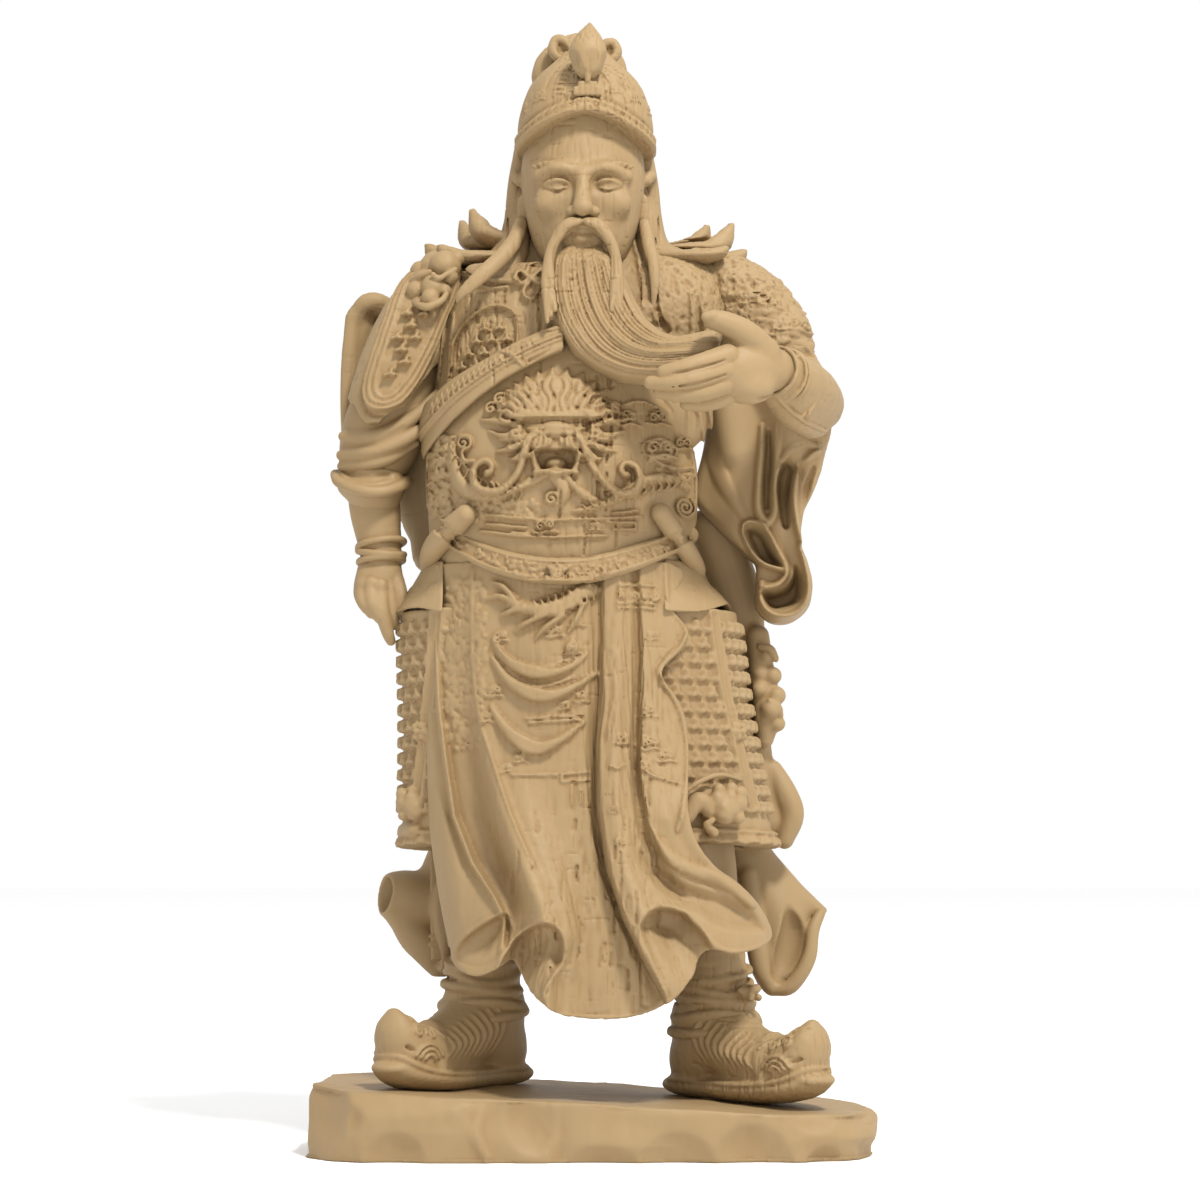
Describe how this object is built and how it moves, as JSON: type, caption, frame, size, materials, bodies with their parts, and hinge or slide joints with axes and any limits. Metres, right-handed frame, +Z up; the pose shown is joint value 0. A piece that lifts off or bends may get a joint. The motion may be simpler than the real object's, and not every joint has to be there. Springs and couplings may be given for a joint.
{
  "type": "carved standing figure",
  "caption": "Standing bearded armoured warrior in pale carved wood on a rough slab plinth, assembled from doweled and glued blocks.",
  "frame": {"origin": "centre of the plinth's flat underside", "axes": "+Z up along the figure's height, -Y towards the viewer it faces, +X towards its left hand"},
  "size_m": [0.197, 0.1203, 0.402],
  "materials": {
    "boxwood": "satin oiled, fine vertical grain",
    "dowel_wood": "plain turned hardwood",
    "steel": "zinc-plated, satin"
  },
  "bodies": {
    "root": {"plinth": "boxwood", "plinth_screws": "steel", "leg_dowels": "dowel_wood", "boot_right": "boxwood", "boot_left": "boxwood", "shin_right": "boxwood", "shin_left": "boxwood", "lower_body": "boxwood", "apron": "boxwood", "flap_left": "boxwood", "tasset_right": "boxwood", "tasset_left": "boxwood", "peplum_right": "boxwood", "peplum_left": "boxwood", "robe_back": "boxwood", "robe_tail_right": "boxwood", "robe_tail_left": "boxwood", "rear_sash_left": "boxwood", "belt": "boxwood", "trunk": "boxwood", "belly_plate": "boxwood", "chest_plate": "boxwood", "diagonal_sash": "boxwood", "petals_right": "boxwood", "petals_left": "boxwood", "shoulder_lion_right": "boxwood", "pauldron_right": "boxwood", "sleeve_right": "boxwood", "drape_right": "boxwood", "cuff_right": "boxwood", "forearm_right": "boxwood", "hand_right": "boxwood", "pauldron_left": "boxwood", "sleeve_left": "boxwood", "forearm_left": "boxwood", "hand_left": "boxwood", "head": "boxwood", "cap": "boxwood", "cap_knots": "boxwood", "cap_jewel": "boxwood", "beard": "boxwood", "moustache": "boxwood", "hair_ribbons": "boxwood", "body_dowels": "dowel_wood", "arm_dowels": "dowel_wood", "small_pegs": "dowel_wood"}
  },
  "joints": []
}
